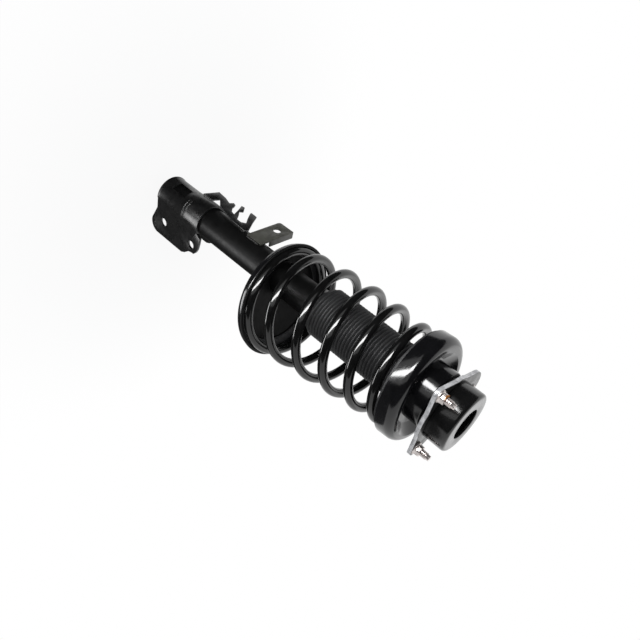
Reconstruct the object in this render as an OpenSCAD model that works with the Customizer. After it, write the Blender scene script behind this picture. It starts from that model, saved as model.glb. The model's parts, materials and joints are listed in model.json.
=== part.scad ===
// Front suspension strut with its coil spring, dust boot, steering bearing and tower mount.
// +Z runs up the damper rod, the origin is where the rod's axis meets the mount plate's
// upper face, and +X points out to the clevis that bolts to the wheel carrier.

/* [Mount plate] */
// How far the plate stands outside the cap, all round
plate_margin = 5; // [4:0.5:8]
// How much further the plate's front edge stands out
plate_bulge = 6.5; // [5:0.5:8]
// Sheet thickness of the plate
plate_t = 2.5; // [2:0.1:3]
// Depth of the plate's turned-down rim, from its upper face
plate_skirt = 6; // [5:0.5:8]
// Radius of the corners beside the pair of studs
lobe_r = 9.5; // [9.5:0.5:12]
// Radius of the corner at the third stud
corner_r = 31; // [27:1:34]
// Spacing of the pair of studs
stud_spacing = 98; // [92:1:104]
// Distance of that pair from the rod's axis, along Y
stud_pair_y = 44.5; // [42:0.5:48]
// Distance of the third stud from the rod's axis, along Y
stud_third_y = 57.5; // [56:0.5:62]
// Distance of the third stud from the rod's axis, along X
stud_third_x = 4; // [0:0.5:6]
// Thread diameter of the studs
stud_d = 10; // [8:1:12]
// Height of the studs above the plate
stud_h = 22.5; // [20:0.5:28]
// Width across the flats of the stud nuts
stud_nut_flats = 14; // [13:0.5:14]
// Height of the stud nuts
stud_nut_h = 9; // [7:0.5:11]

/* [Mount cap and bush] */
// Outside diameter of the cap
cap_d = 90; // [88:1:94]
// Height of the cap above the plate
cap_h = 31.5; // [30:0.5:36]
// Sheet thickness of the cap
cap_t = 3; // [2:0.1:3.5]
// Diameter of the hole in the cap's top
cap_hole_d = 46; // [42:1:56]
// Offset of the cap from the rod's axis, along X
cap_shift_x = 2.5; // [0:0.5:3]
// Offset of the cap from the rod's axis, along Y
cap_shift_y = -2; // [-3:0.5:0]
// Outside radius of the bend round the cap's top
cap_bend = 5; // [4:0.5:8]
// How far the cup under the plate stands outside the bearing's races
base_margin = 1; // [0.6:0.1:1.6]
// Sheet thickness of the cup under the plate
base_t = 2.5; // [2:0.1:3]
// Depth of that cup below the plate's upper face
base_drop = 14; // [13:0.5:16]
// Outside diameter of the steel sleeve in the rubber
sleeve_d = 24; // [22:0.5:28]
// Height of the sleeve's upper end above the plate
sleeve_top = 6; // [4:0.5:8]
// Height of the rubber's crown above the plate
rubber_top = 13; // [10:0.5:16]

/* [Bearing] */
// Pitch diameter of the balls
ball_ring_d = 65; // [63:0.5:67]
// Diameter of a ball
ball_d = 5; // [4:0.25:5.5]
// Number of balls
ball_n = 24; // [16:1:28]
// Width of each race ring
race_w = 11; // [9:0.5:12]
// Thickness of each race ring
race_t = 3; // [2.5:0.25:4]

/* [Damper] */
// Diameter of the damper rod
rod_d = 22; // [20:0.5:24]
// Thread diameter of the rod's upper end
rod_thread_d = 14; // [12:1:16]
// Outside diameter of the strut tube
tube_d = 51; // [49:1:54]
// Wall of the strut tube
tube_wall = 2.5; // [2:0.1:3]
// Distance from the mount plate down to the tube's upper end
tube_drop = 222; // [218:1:228]
// Length of the strut tube
tube_len = 364.5; // [360:0.5:370]
// Outside diameter of the cap on the tube's end
end_cap_d = 55; // [54:0.5:58]
// Bore of the inner cylinder
bore_d = 32; // [30:0.5:34]
// Wall of the inner cylinder
bore_wall = 1.5; // [1.2:0.1:2]
// Travel from full extension to the bump stop
travel = 115; // [100:1:120]
// Length of the piston
piston_len = 16; // [12:1:22]
// Thickness of the rod guide
guide_len = 16; // [12:1:20]
// Depth of the cup that holds the bump stop
stop_cup_depth = 28; // [24:1:32]
// Depth of the skirt of the tube's cap
end_cap_skirt = 22; // [18:1:26]
// Diameter of the bump stop's bulges
bump_d = 47; // [44:0.5:50]

/* [Coil spring] */
// Diameter of the spring wire
wire_d = 13.5; // [12:0.25:14]
// Mean radius of the coil at its lower end
coil_r_low = 79.5; // [78:0.5:80.5]
// Mean radius of the coil at its upper end
coil_r_top = 67; // [65:0.5:68.5]
// How far the middle turns stand outside an even taper
coil_barrel = 3.7; // [0:0.1:5]
// Number of turns, with the closed ends
coil_turns = 6; // [5.7:0.05:6.2]
// Direction of the coil's lower tip, from +X
coil_start = 71; // [40:1:100]
// Turns over which the lower end opens out
open_low = 1.33; // [1.1:0.01:1.5]
// Turns over which the upper end closes
close_top = 0.83; // [0.6:0.01:1.1]
// How far the middle turns stand above an even pitch
pitch_bias = 11.3; // [6:0.1:13]
// How far the coil's axis bows inboard of a straight line
coil_bow = 5.1; // [0:0.1:8]

/* [Upper spring seat] */
// Distance from the mount plate down to the seat's spring side
seat_face_drop = 56; // [55:0.5:60]
// Height of the seat's rim
seat_h = 27; // [26:0.5:29]
// Outside radius of the seat
seat_r = 79.5; // [78.5:0.5:82]
// Bend radius round the seat's shoulder
seat_bend = 12; // [10:0.5:14]
// Sheet thickness of the seat
seat_t = 3; // [2.5:0.1:3.5]
// Tilt of the seat towards the spring
seat_tilt = 5; // [3:0.5:7]
// How far the rubber pad stands out below the seat's rim
isolator_drop = 4; // [2:0.5:6]
// Gap between that cup and the neck round it
neck_gap = 2; // [1.5:0.25:3]
// Distance from the mount plate down to the neck's edge
neck_drop = 12; // [9.5:0.5:13]
// Radius of the well's lip, round the neck
well_r = 64; // [61:0.5:65]
// Depth of the well
well_depth = 11; // [8:0.5:13]
// Offset of the well from the seat's middle, along X
well_shift_x = 2.5; // [0:0.5:3]
// Offset of the well from the seat's middle, along Y
well_shift_y = -1.5; // [-2:0.5:0]

/* [Lower spring seat] */
// Outside radius of the pan's rim
pan_r = 91; // [90.5:0.5:95]
// Sheet thickness of the pan
pan_t = 3; // [2.5:0.1:3.5]
// Outside radius of the bend round the pan's floor
pan_bend = 12; // [9:0.5:13]
// Height of the rim above the middle of the lowest turn
pan_rim = 3; // [2:0.5:6]
// Tilt of the pan
pan_tilt = 10.5; // [8:0.5:13]
// Offset of the pan from the rod's axis
pan_shift = 32; // [28:0.5:34]
// Distance from the mount plate down to the middle of the lowest turn
pan_drop = 299; // [295:1:308]
// Thickness of the rubber pad under the coil
pad_t = 3; // [2:0.5:4]
// Diameter of the drain hole
drain_d = 8; // [6:0.5:10]

/* [Dust boot] */
// Outside diameter of the ribs
boot_d = 78; // [74:0.5:80]
// Depth of the ribs
rib_depth = 3.4; // [2:0.2:4.5]
// Wall of the boot
boot_wall = 1.6; // [1.2:0.1:2]
// Number of ribs
rib_n = 30; // [24:1:36]

/* [Clevis bracket] */
// Sheet thickness of the bracket
clevis_t = 3.8; // [3.4:0.1:4.2]
// Gap between the ears
clevis_gap = 49.8; // [48:0.2:50.6]
// Distance from the rod's axis out to the bolts
bolt_x = 40; // [39:0.5:42]
// Distance from the mount plate down to the upper bolt
bolt_drop = 494.3; // [490:0.5:497]
// Distance between the two bolts
bolt_pitch = 75; // [73:0.5:77]
// Diameter of the bolt holes
bolt_hole_d = 14.2; // [12.2:0.2:15.2]
// Reach of the ears past the bolts
ear_past = 27.5; // [25:0.5:30]
// Depth of the pocket pressed into each ear round the lower bolt
pocket_depth = 0.9; // [0.5:0.1:1.2]
// How far the wide collar stands off the tube
collar_gap = 1.3; // [0.8:0.1:1.8]
// Height of the wide collar
collar_h = 45; // [42:0.5:48]
// Thickness of the strap across the front of the tube
strap_t = 2.8; // [2:0.1:3.2]
// Distance of the strap's ends from the bolts' middles
strap_inset = 11; // [10:0.5:14]

/* [Hose and wire brackets] */
// Sheet thickness of the brake hose bracket
hose_t = 3; // [2.5:0.1:3.5]
// Reach of the brake hose bracket from the tube's middle
hose_reach = 70; // [66:0.5:74]
// Height of the brake hose bracket
hose_h = 32; // [28:0.5:34]
// Distance from the mount plate down to the bracket's flange
hose_drop = 368; // [362:0.5:374]
// Width of the bracket's flange
hose_flange = 12; // [10:0.5:14]
// Diameter of the hose clip's hole
hose_hole_d = 12.2; // [10:0.2:14]
// Sheet thickness of the wire bracket
wire_bracket_t = 2; // [1.6:0.1:2.4]

/* [Hidden] */
$fn = 72;

// Clearances: pieces that slide, pieces that only stand apart, and a thread in its nut
run_gap = 0.05;
stand_gap = 0.3;
thread_gap = 0.1;

// The studs are drawn at their pitch diameter where the plate and the nuts hold them
stud_held_r = 0.46 * stud_d;
stud_places = [
    [-stud_spacing / 2, -stud_pair_y],
    [stud_spacing / 2, -stud_pair_y],
    [stud_third_x, stud_third_y]
];
plate_corners = [
    [stud_places[0].x, stud_places[0].y, lobe_r],
    [stud_places[1].x + lobe_r / 2, stud_places[1].y + 0.5, lobe_r],
    [stud_places[2].x - 7, stud_places[2].y + 17.5 - corner_r, corner_r]
];
washer_t = 2.5;
stop_cup_t = 1.5;
rod_shoulder = -base_drop - stop_cup_t;
washer_r = sleeve_d / 2 + 8;
rod_nut_flats = 1.5 * rod_thread_d;
rod_nut_h = 0.75 * rod_thread_d;
rod_nut_z = sleeve_top + washer_t;

race_gap = 0.3;
groove_r = ball_d / 2 + race_gap;
groove_depth = 0.9;
upper_race_z = -base_drop - race_t;
ball_z = upper_race_z + groove_depth - groove_r;
lower_race_z = ball_z - groove_r + groove_depth;
shelf_z = lower_race_z - race_t;
race_in_r = (ball_ring_d - race_w) / 2;
race_out_r = (ball_ring_d + race_w) / 2;
shelf_hole_r = race_in_r - 2;
base_r = race_out_r + base_margin;
base_in_r = base_r - base_t;
neck_in_r = base_r + neck_gap;
neck_r = neck_in_r + seat_t;
stop_cup_r = shelf_hole_r - 3;

tube_r = tube_d / 2;
tube_in_r = tube_r - tube_wall;
tube_top = -tube_drop;
tube_low = tube_top - tube_len;
seal_t = 5.5;
cap_sheet = 2.5;
guide_top = tube_top - seal_t;
guide_low = guide_top - guide_len;
valve_h = 14;
base_cup_t = 4;
cylinder_low = tube_low + base_cup_t + valve_h;
bore_r = bore_d / 2;
rebound_h = 10;
piston_top = guide_low - stand_gap - rebound_h - 30;
piston_nut_h = 10;
bump_low = tube_top + cap_sheet + travel + 6;

wire_r = wire_d / 2;
coil_top_z = -seat_face_drop - isolator_drop - wire_r - 0.25;
coil_low_z = -pan_drop;
close_from = coil_turns - close_top;
open_from = 0.03;
coil_pitch = (coil_top_z - coil_low_z)
    / (ramp(coil_turns, open_from, open_low) - ramp(coil_turns, close_from, close_top));
seat_shift = 2;
coil_top_x = seat_shift + 2.2;

pan_in_r = coil_r_low + wire_r + 0.75;
pan_floor = -wire_r - stand_gap - pad_t;
pan_under = pan_floor - pan_t;

clevis_in_y = clevis_gap / 2;
clevis_out_y = clevis_in_y + clevis_t;
bolt_low = -bolt_drop - bolt_pitch;
wrap_r = tube_r + clevis_t;
collar_in_r = tube_r + collar_gap;
collar_out_r = collar_in_r + clevis_t;
collar_top = -bolt_drop + 12.3;
collar_low = collar_top - collar_h;
ear_reach = bolt_x + ear_past;
ear_low = bolt_low - 31.5;
ear_top = -bolt_drop + 20.8;

// ---- Sections shared by several pieces ----

// Corner points of the straight band between two circles, each given as x, y and radius
function band(a, b) =
    let (
        gap = [b.x - a.x, b.y - a.y],
        way = atan2(gap.y, gap.x),
        open = acos((a.z - b.z) / norm(gap))
    )
    [
        [a.x, a.y] + (a.z - 0.02) * [cos(way + open), sin(way + open)],
        [b.x, b.y] + (b.z - 0.02) * [cos(way + open), sin(way + open)],
        [b.x, b.y] + (b.z - 0.02) * [cos(way - open), sin(way - open)],
        [a.x, a.y] + (a.z - 0.02) * [cos(way - open), sin(way - open)]
    ];

// Plate body: three corners joined by straight sides, round the cap, drawn in all round by inset
module plate_body(inset, h) {
    spots = [for (c = plate_corners) [c.x, c.y, c.z - inset]];
    for (y = [0, -plate_bulge]) translate([cap_shift_x, cap_shift_y + y, 0])
        cylinder(r = cap_d / 2 + plate_margin - inset, h = h);
    linear_extrude(h) polygon([for (c = spots) [c.x, c.y]]);
    for (i = [0 : 2]) {
        translate([spots[i].x, spots[i].y, 0]) cylinder(r = spots[i].z, h = h);
        linear_extrude(h) polygon(band(spots[i], spots[(i + 1) % 3]));
    }
}

// Half section of a disc from z0 to z1 whose upper edge is bent over a radius
module dome_section(r, z0, z1, bend) {
    translate([0, z0]) square([r, z1 - z0 - bend]);
    translate([0, z0]) square([r - bend, z1 - z0]);
    intersection() {
        translate([r - bend, z1 - bend]) circle(bend);
        translate([r - bend, z1 - bend]) square(bend);
    }
}

// Half section of a disc from z0 to z1 whose lower edge is bent over a radius
module dish_section(r, z0, z1, bend) {
    translate([0, z0 + bend]) square([r, z1 - z0 - bend]);
    translate([0, z0]) square([r - bend, z1 - z0]);
    intersection() {
        translate([r - bend, z0 + bend]) circle(bend);
        translate([r - bend, z0]) square(bend);
    }
}

// Ring between two radii, from z0 up to z1
module ring(r_in, r_out, z0, z1) {
    rotate_extrude() translate([r_in, z0]) square([r_out - r_in, z1 - z0]);
}

module hex_nut(flats, bore_r, h) {
    difference() {
        intersection() {
            cylinder(r = flats / sqrt(3), h = h, $fn = 6);
            translate([0, 0, -1]) cylinder(r1 = flats / 2 + 1.2, r2 = flats / 2 + 0.4, h = h + 1);
        }
        translate([0, 0, -1]) cylinder(r = bore_r, h = h + 2);
    }
}

// ---- Tower mount ----

module mount_plate() {
    color("#2b2c2e") difference() {
        translate([0, 0, -plate_skirt]) plate_body(0, plate_skirt);
        translate([0, 0, -plate_skirt - 1]) plate_body(plate_t, plate_skirt - plate_t + 1);
        translate([0, 0, -plate_skirt - 1]) cylinder(r = base_in_r, h = plate_skirt + 2);
        for (p = stud_places) {
            translate([p.x, p.y, -plate_skirt]) cylinder(r = stud_held_r, h = plate_skirt + 1);
        }
    }
}

module mount_cap() {
    color("#222325") translate([cap_shift_x, cap_shift_y, 0]) difference() {
        rotate_extrude() dome_section(cap_d / 2, 0, cap_h, cap_bend);
        translate([0, 0, -1]) rotate_extrude()
            dome_section(cap_d / 2 - cap_t, 0, cap_h - cap_t + 1, cap_bend - cap_t + 0.5);
        cylinder(d = cap_hole_d, h = cap_h + 1);
    }
}

module mount_base() {
    flange_r = base_r + 5;
    color("#2b2c2e") difference() {
        union() {
            rotate_extrude() dish_section(base_r, -base_drop, -plate_t, 3);
            translate([0, 0, -plate_t - base_t]) cylinder(r = flange_r, h = base_t);
        }
        translate([0, 0, -base_drop + base_t]) cylinder(r = base_in_r, h = base_drop);
        translate([0, 0, -base_drop - 1]) cylinder(r = washer_r + 4, h = base_drop);
    }
}

module mount_rubber() {
    low = -base_drop + base_t;
    color("#1b1b1c") difference() {
        union() {
            translate([0, 0, low]) cylinder(r = base_in_r, h = -low);
            translate([cap_shift_x, cap_shift_y, 0]) rotate_extrude()
                dome_section(cap_d / 2 - cap_t, 0, rubber_top, 6);
        }
        translate([0, 0, low - 1]) cylinder(d = sleeve_d, h = rubber_top - low + 2);
        translate([0, 0, sleeve_top - 4]) cylinder(r = washer_r + 3, h = rubber_top);
        translate([0, 0, low - 1]) rotate_extrude() dome_section(washer_r + 4, 0, 4, 2.5);
    }
}

module mount_sleeve() {
    color("#55585b") ring(rod_thread_d / 2 + thread_gap, sleeve_d / 2, -base_drop + washer_t, sleeve_top);
}

module mount_studs() {
    free_z = stud_nut_h + 0.5;
    head_r = min(stud_d / 2 + 1, lobe_r - plate_t - 1);
    color("#c9b7a4") for (p = stud_places) translate([p.x, p.y, 0]) {
        translate([0, 0, -plate_t - 3]) cylinder(r = head_r, h = 3);
        translate([0, 0, -plate_t]) cylinder(r = stud_held_r, h = plate_t + free_z);
        translate([0, 0, free_z]) cylinder(d = stud_d, h = stud_h - 5 - free_z);
        translate([0, 0, stud_h - 5]) cylinder(d1 = stud_d, d2 = stud_d - 2.4, h = 1.5);
        translate([0, 0, stud_h - 3.5]) cylinder(d = stud_d - 2.4, h = 3.5);
    }
}

module stud_nuts() {
    bore_r = stud_held_r + thread_gap;
    flange_r = stud_nut_flats / 2 + 2.3;
    color("#b9a695") for (p = stud_places) translate([p.x, p.y, 0]) {
        ring(bore_r, flange_r, 0, 1.5);
        difference() {
            translate([0, 0, 1.5]) cylinder(r1 = flange_r, r2 = stud_nut_flats / 2, h = 1.8);
            translate([0, 0, 1]) cylinder(r = bore_r, h = 3);
        }
        translate([0, 0, 1.5]) hex_nut(stud_nut_flats, bore_r, stud_nut_h - 1.5);
    }
}

module bearing_upper_race() {
    color("#8a8d90") difference() {
        ring(race_in_r, race_out_r, upper_race_z, -base_drop);
        rotate_extrude() translate([ball_ring_d / 2, ball_z]) circle(groove_r);
    }
}

// ---- Damper rod and what it carries ----

module piston_rod() {
    rod_low = piston_top - piston_len - piston_nut_h - 2;
    tip_z = rod_nut_z + rod_nut_h + 4;
    stem_r = bore_r / 3;
    color("#d4d7da") {
        translate([0, 0, piston_top]) cylinder(d = rod_d, h = rod_shoulder - piston_top - 1.5);
        translate([0, 0, rod_shoulder - 1.5])
            cylinder(d1 = rod_d, d2 = rod_d - 3, h = 1.5);
        translate([0, 0, rod_shoulder]) cylinder(d = rod_thread_d, h = tip_z - rod_shoulder - 1);
        translate([0, 0, tip_z - 1]) cylinder(d1 = rod_thread_d, d2 = rod_thread_d - 2, h = 1);
        translate([0, 0, rod_low]) cylinder(r = stem_r, h = piston_top - rod_low);
    }
}

module rod_washers() {
    bore_r = rod_thread_d / 2 + thread_gap;
    color("#6f7276") {
        ring(bore_r, washer_r, -base_drop, -base_drop + washer_t);
        ring(bore_r, washer_r, sleeve_top, sleeve_top + washer_t);
    }
}

module rod_nut() {
    color("#7b7e82") translate([0, 0, rod_nut_z])
        hex_nut(rod_nut_flats, rod_thread_d / 2 + thread_gap, rod_nut_h);
}

module bump_stop_cup() {
    wall_low = -base_drop - stop_cup_depth;
    color("#3a3b3d") difference() {
        rotate_extrude() dome_section(stop_cup_r, wall_low, -base_drop, 4);
        translate([0, 0, wall_low - 1]) rotate_extrude()
            dome_section(stop_cup_r - stop_cup_t, 0, stop_cup_depth + 1 - stop_cup_t, 2.5);
        translate([0, 0, wall_low]) cylinder(r = rod_thread_d / 2 + thread_gap, h = 2 * stop_cup_depth);
    }
}

module bump_stop() {
    top_z = rod_shoulder - 2;
    plug_r = stop_cup_r - stop_cup_t - 0.2;
    plug_low = -base_drop - stop_cup_depth;
    bulges = 4;
    step = (plug_low - bump_low) / bulges;
    color("#4a4638") difference() {
        union() {
            translate([0, 0, plug_low]) cylinder(r = plug_r, h = top_z - plug_low - 2.5);
            translate([0, 0, bump_low]) cylinder(r = bump_d / 2 - 5, h = plug_low - bump_low);
            for (i = [0 : bulges - 1]) {
                translate([0, 0, bump_low + (i + 0.15) * step])
                    cylinder(r1 = bump_d / 2 - 5, r2 = bump_d / 2 - i % 2, h = step * 0.35);
                translate([0, 0, bump_low + (i + 0.5) * step])
                    cylinder(r1 = bump_d / 2 - i % 2, r2 = bump_d / 2 - 5, h = step * 0.35);
            }
        }
        translate([0, 0, bump_low - 1]) cylinder(r = rod_d / 2 + stand_gap, h = top_z - bump_low + 2);
    }
}

module rebound_stop() {
    top_z = guide_low - stand_gap;
    color("#2f3032") ring(rod_d / 2, bore_r - 1.5, top_z - rebound_h, top_z);
}

module piston() {
    color("#77797c") difference() {
        translate([0, 0, piston_top - piston_len])
            cylinder(r = bore_r - 2 * stand_gap, h = piston_len);
        translate([0, 0, piston_top - piston_len - 1]) cylinder(r = bore_r / 3, h = piston_len + 2);
        ring(bore_r - 1.6, bore_r + 1, piston_top - piston_len * 0.75, piston_top - piston_len * 0.25);
        for (a = [0 : 60 : 300]) rotate(a) translate([bore_r * 0.68, 0, piston_top - piston_len - 1])
            cylinder(r = 1.6, h = piston_len + 2);
    }
}

module piston_band() {
    color("#3d5a3a") ring(bore_r - 1.6, bore_r - stand_gap,
        piston_top - piston_len * 0.75, piston_top - piston_len * 0.25);
}

module piston_nut() {
    color("#6f7276") translate([0, 0, piston_top - piston_len - piston_nut_h])
        hex_nut(1.1 * bore_r, bore_r / 3, piston_nut_h);
}

// ---- Turning spring seat, bearing, spring and boot ----

module seat_frame() {
    translate([seat_shift, 0, -seat_face_drop]) rotate([0, -seat_tilt, 0]) children();
}

// The well round the neck, drawn in all round by inset
module seat_well(inset) {
    floor_z = seat_h - well_depth - inset;
    translate([well_shift_x, well_shift_y, 0]) rotate_extrude() polygon([
        [0, floor_z], [neck_r + 6 + inset, floor_z], [well_r + 1.2 * inset, seat_h - inset],
        [well_r + 1.2 * inset, seat_h + 1], [0, seat_h + 1]
    ]);
}

// What the drum holds: its sheet's inner face, below the well
module seat_hollow(low) {
    difference() {
        rotate_extrude() dome_section(seat_r - seat_t, low, seat_h - seat_t, seat_bend - seat_t);
        seat_well(seat_t);
    }
}

module upper_spring_seat() {
    neck_low = -seat_face_drop + seat_h - well_depth - 2 * seat_t - neck_r * sin(seat_tilt);
    color("#1a1a1b") difference() {
        union() {
            seat_frame() difference() {
                rotate_extrude() dome_section(seat_r, 0, seat_h, seat_bend);
                seat_well(0);
                seat_hollow(-1);
            }
            translate([0, 0, neck_low]) rotate_extrude()
                dome_section(neck_r, 0, -neck_drop - neck_low, seat_t - 0.2);
        }
        translate([0, 0, shelf_z]) cylinder(r = neck_in_r, h = 40);
        translate([0, 0, shelf_z - seat_t - 60]) cylinder(r = neck_in_r, h = 60);
        translate([0, 0, shelf_z - 40]) cylinder(r = shelf_hole_r, h = 80);
    }
}

module upper_isolator() {
    color("#202022") seat_frame() difference() {
        intersection() {
            seat_hollow(-isolator_drop);
            ring(coil_r_top - wire_r - 5, seat_r, -isolator_drop - 1, seat_h);
        }
        ring(coil_r_top - 6, coil_r_top + 3, isolator_drop + 2, seat_h);
    }
}

module bearing_lower_race() {
    color("#8a8d90") difference() {
        ring(race_in_r, race_out_r, shelf_z, lower_race_z);
        rotate_extrude() translate([ball_ring_d / 2, ball_z]) circle(groove_r);
    }
}

module bearing_balls() {
    color("#e2e4e6") for (i = [0 : ball_n - 1]) rotate(360 / ball_n * i)
        translate([ball_ring_d / 2, 0, ball_z - race_gap + 0.02]) sphere(d = ball_d, $fn = 24);
}

module bearing_cage() {
    color("#d9d2b8") difference() {
        ring(ball_ring_d / 2 - ball_d / 2 - 1, ball_ring_d / 2 + ball_d / 2 + 1, ball_z - 0.9, ball_z + 0.9);
        for (i = [0 : ball_n - 1]) rotate(360 / ball_n * i)
            translate([ball_ring_d / 2, 0, ball_z - 2]) cylinder(d = ball_d + 0.3, h = 4);
    }
}

module bearing_seal() {
    color("#161617") ring(base_r + stand_gap, neck_in_r, -base_drop, -base_drop + 2);
    color("#161617") ring(neck_in_r - 1.2, neck_in_r, shelf_z, -base_drop + 1);
}

// Integral of a slope that starts at t0 and rises to 1 over a span
function ramp(t, t0, span) =
    t <= t0 ? 0 : t < t0 + span ? (t - t0) ^ 2 / (2 * span) : t - t0 - span / 2;

// Height of the coil's own middle after t turns
function coil_z(t) =
    let (v = t / coil_turns)
    coil_low_z + coil_pitch * (ramp(t, open_from, open_low) - ramp(t, close_from, close_top))
    + pitch_bias * 16 * v ^ 2 * (1 - v) ^ 2;

// Middle of the wire after t turns, on a coil whose axis leans, bows and tilts
function coil_point(t) =
    let (
        zc = coil_z(t),
        u = (coil_top_z - zc) / (coil_top_z - coil_low_z),
        r = coil_r_top + (coil_r_low - coil_r_top) * u + 4 * coil_barrel * u * (1 - u),
        tilt = seat_tilt + (pan_tilt - seat_tilt) * u,
        x = coil_top_x + (pan_shift - coil_top_x) * u - 4 * coil_bow * u * (1 - u),
        way = coil_start + 360 * t
    )
    [x + r * cos(way) * cos(tilt), r * sin(way), zc + r * cos(way) * sin(tilt)];

// Ring of points square to the wire at t
function wire_ring(t, sides) =
    let (
        mid = coil_point(t),
        run = coil_point(t + 0.002) - coil_point(t - 0.002),
        ahead = run / norm(run),
        out = [cos(coil_start + 360 * t), sin(coil_start + 360 * t), 0],
        side = cross(ahead, out) / norm(cross(ahead, out)),
        up = cross(side, ahead)
    )
    [for (k = [0 : sides - 1]) mid + wire_r * (cos(360 / sides * k) * up + sin(360 / sides * k) * side)];

coil_rings = round(coil_turns * 24);
coil_sides = 8;

// Least distance between the wire's surfaces, over all pairs of points a half turn apart or more
coil_mids = [for (i = [0 : coil_rings]) coil_point(coil_turns * i / coil_rings)];
coil_gap = min([for (i = [0 : coil_rings - 13]) min([for (j = [i + 12 : coil_rings])
    norm(coil_mids[i] - coil_mids[j])])]) - wire_d;
echo(least_gap_between_turns_mm = coil_gap);

module coil_spring() {
    points = [for (i = [0 : coil_rings]) each wire_ring(coil_turns * i / coil_rings, coil_sides)];
    walls = [for (i = [0 : coil_rings - 1], k = [0 : coil_sides - 1])
        let (
            a = i * coil_sides + k,
            b = i * coil_sides + (k + 1) % coil_sides
        )
        each [[a, a + coil_sides, b + coil_sides], [a, b + coil_sides, b]]];
    last = coil_rings * coil_sides;
    tips = [for (k = [1 : coil_sides - 2])
        each [[0, k, k + 1], [last, last + k + 1, last + k]]];
    color("#1c1c1d") polyhedron(points, concat(walls, tips), convexity = 12);
}

module dust_boot() {
    top_z = shelf_z - seat_t;
    low_z = tube_top - 4;
    ribs_top = top_z - 38;
    ribs_low = low_z + 4;
    pitch = (ribs_top - ribs_low) / rib_n;
    crest = boot_d / 2;
    root = crest - rib_depth;
    cuff_r = end_cap_d / 2 + stand_gap;
    plain = crest - 3.5;
    flange = neck_in_r - stand_gap;
    skin = [for (i = [0 : rib_n - 1]) each [
        [root, ribs_low + pitch * i],
        [crest, ribs_low + pitch * (i + 0.3)],
        [crest, ribs_low + pitch * (i + 0.7)]
    ]];
    last = len(skin) - 1;
    lining = [for (i = [0 : last]) skin[last - i] - [boot_wall, 0]];
    color("#2d2d2e") rotate_extrude() polygon(concat(
        [[cuff_r, low_z], [root, low_z]], skin, [[root, ribs_top], [plain, ribs_top + 2],
        [plain, top_z - 2], [flange, top_z - 2], [flange, top_z],
        [plain - boot_wall, top_z], [plain - boot_wall, ribs_top + 2],
        [root - boot_wall, ribs_top]], lining, [[cuff_r, ribs_low]]
    ));
}

// ---- Strut: tube and inner parts ----

module strut_tube() {
    color("#1f1f20") ring(tube_in_r, tube_r, tube_low, tube_top);
}

module tube_end_cap() {
    color("#28282a") difference() {
        rotate_extrude() dome_section(end_cap_d / 2, tube_top - end_cap_skirt, tube_top + cap_sheet, 4);
        translate([0, 0, tube_top - end_cap_skirt - 1]) cylinder(r = tube_r, h = end_cap_skirt + 1);
        translate([0, 0, tube_top - 1]) cylinder(r = rod_d / 2 + 1, h = 10);
    }
}

module base_cup() {
    color("#1f1f20") difference() {
        translate([0, 0, tube_low]) cylinder(r = tube_in_r, h = base_cup_t);
        translate([0, 0, tube_low - 1]) cylinder(r1 = tube_in_r - 7, r2 = tube_in_r - 9, h = 2.5);
    }
}

module inner_cylinder() {
    color("#8b8e92") ring(bore_r, bore_r + bore_wall, cylinder_low, guide_low);
}

module base_valve() {
    low = tube_low + base_cup_t;
    color("#77797c") difference() {
        union() {
            translate([0, 0, low]) cylinder(r = bore_r + bore_wall + 2, h = valve_h);
            translate([0, 0, cylinder_low]) cylinder(r = bore_r, h = 6);
        }
        for (a = [0 : 60 : 300]) rotate(a) {
            translate([bore_r * 0.6, 0, low - 1]) cylinder(r = 2, h = valve_h + 8);
            translate([bore_r + bore_wall + 2, 0, low - 1]) cylinder(r = 1.6, h = valve_h - 4);
        }
    }
}

module rod_guide() {
    color("#9a9da1") difference() {
        translate([0, 0, guide_low]) cylinder(r = tube_in_r, h = guide_len);
        translate([0, 0, guide_low - 1]) cylinder(r = rod_d / 2 + 1.5, h = guide_len + 2);
        for (a = [45 : 90 : 315]) rotate(a) translate([tube_in_r, 0, guide_low - 1])
            cylinder(r = 1.5, h = guide_len + 2);
    }
}

module guide_bush() {
    color("#a8803c") ring(rod_d / 2 + run_gap, rod_d / 2 + 1.5, guide_low, guide_top);
}

module rod_seal() {
    color("#141415") difference() {
        ring(rod_d / 2 + stand_gap, tube_in_r, guide_top, tube_top);
        ring(rod_d / 2 + 2, rod_d / 2 + 4, guide_top - 1, guide_top + 2.5);
    }
}

// ---- Lower spring seat ----

module pan_frame() {
    translate([pan_shift, 0, -pan_drop]) rotate([0, -pan_tilt, 0]) children();
}

module pan_section() {
    dish_section(pan_in_r + pan_t, pan_under, pan_rim - 1, pan_bend);
    translate([pan_in_r, pan_rim - 4]) square([pan_r - pan_in_r - 2, 4]);
    translate([pan_r - 2, pan_rim - 2]) circle(2);
}

module lower_spring_seat() {
    floor_z = -pan_drop + pan_under - pan_shift * tan(pan_tilt);
    color("#19191a") difference() {
        union() {
            pan_frame() difference() {
                rotate_extrude() pan_section();
                rotate_extrude() dish_section(pan_in_r, pan_floor, 30, pan_bend - pan_t);
            }
            translate([0, 0, floor_z - 12]) cylinder(r = tube_r + pan_t, h = 14);
        }
        translate([0, 0, floor_z - 40]) cylinder(r = tube_r, h = 80);
        pan_frame() translate([-51, 18, pan_under - 5]) cylinder(d = drain_d, h = 20);
    }
}

module lower_isolator() {
    color("#232324") pan_frame() rotate_extrude() intersection() {
        dish_section(pan_in_r - stand_gap, pan_floor, 30, pan_bend - pan_t - stand_gap);
        translate([coil_r_low - wire_r - 3, pan_floor]) square([40, pad_t]);
    }
}

// ---- Clevis bracket ----

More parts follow.
